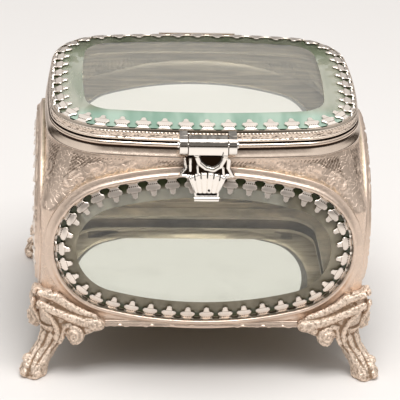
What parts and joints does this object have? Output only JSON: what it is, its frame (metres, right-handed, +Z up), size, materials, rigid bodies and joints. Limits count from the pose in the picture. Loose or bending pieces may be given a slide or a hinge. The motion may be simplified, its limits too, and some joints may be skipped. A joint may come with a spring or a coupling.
{
  "type": "glass casket box",
  "caption": "Small footed casket with bevelled glass walls and a hinged bevelled glass lid, set in stamped plated metal, with gallery-strip bezels, paw feet and a front clasp.",
  "frame": {"origin": "on the table under the middle of the box", "axes": "+X to the right along the width, +Y to the back where the hinge is, +Z up"},
  "size_m": [0.1138, 0.091, 0.0848],
  "materials": {
    "stamped_metal": "plated, stamped floral relief, aged to a rosy champagne tone",
    "polished_moulding": "plated and polished",
    "gallery_strip": "plated, satin",
    "cast_metal": "plated casting with a stippled texture",
    "inner_metal": "dull, unpolished inside",
    "bright_plating": "bright plating",
    "bevelled_glass": "clear with a pale green tint, polished bevel",
    "mirror_glass": "silvered glass, slightly warm with age"
  },
  "bodies": {
    "casket": {"front_panel": "stamped_metal", "right_panel": "stamped_metal", "back_panel": "stamped_metal", "left_panel": "stamped_metal", "front_glass": "bevelled_glass", "right_glass": "bevelled_glass", "back_glass": "bevelled_glass", "left_glass": "bevelled_glass", "front_bezel": "gallery_strip", "right_bezel": "gallery_strip", "back_bezel": "gallery_strip", "left_bezel": "gallery_strip", "collar": "polished_moulding", "base_plate": "inner_metal", "floor_mirror": "mirror_glass", "floor_frame": "inner_metal", "foot_front_left": "cast_metal", "foot_front_right": "cast_metal", "foot_back_left": "cast_metal", "foot_back_right": "cast_metal", "hinge_leaf_body": "bright_plating", "hinge_pin": "bright_plating", "clasp_catch": "bright_plating"},
    "lid": {"lid_frame": "polished_moulding", "lid_glass": "bevelled_glass", "lid_bezel": "gallery_strip", "hinge_leaf_lid": "bright_plating", "clasp_bracket": "bright_plating", "clasp_pin": "bright_plating"},
    "clasp": {"clasp_flap": "bright_plating"}
  },
  "joints": [
    {"name": "lid_hinge", "type": "hinge", "parent": "casket", "child": "lid", "pos_m": [0, 0.0419, 0.07945], "axis": [-1, 0, 0], "range_deg": [0, 100]},
    {"name": "clasp_hinge", "type": "hinge", "parent": "lid", "child": "clasp", "pos_m": [0, -0.04225, 0.0804], "axis": [-1, 0, 0], "range_deg": [0, 100]}
  ]
}
